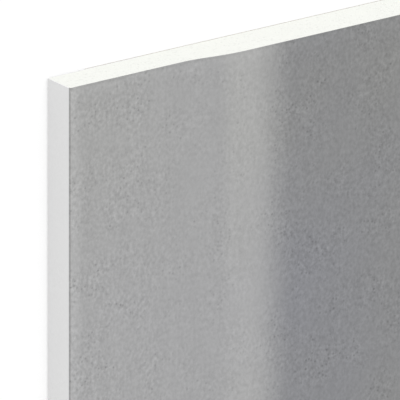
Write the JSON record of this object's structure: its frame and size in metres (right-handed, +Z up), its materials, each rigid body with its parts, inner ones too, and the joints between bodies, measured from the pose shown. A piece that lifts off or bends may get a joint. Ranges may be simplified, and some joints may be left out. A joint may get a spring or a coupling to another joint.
{
  "type": "drywall sheet",
  "caption": "Full-size drywall sheet with tapered, paper-wrapped long edges and cut ends that show the gypsum core, for lining walls and ceilings.",
  "frame": {"origin": "middle of the sheet's underside, on the surface that it lies on", "axes": "+X across the width, +Y along the length, +Z up, out of the face"},
  "size_m": [1.2, 2.4, 0.0125],
  "materials": {
    "gypsum": "matt, cast and saw-cut",
    "face_liner": "matt grey recycled liner with fibre flecks",
    "back_liner": "matt recycled liner"
  },
  "bodies": {
    "root": {"gypsum_core": "gypsum", "face_paper": "face_liner", "back_paper": "back_liner"}
  },
  "joints": []
}
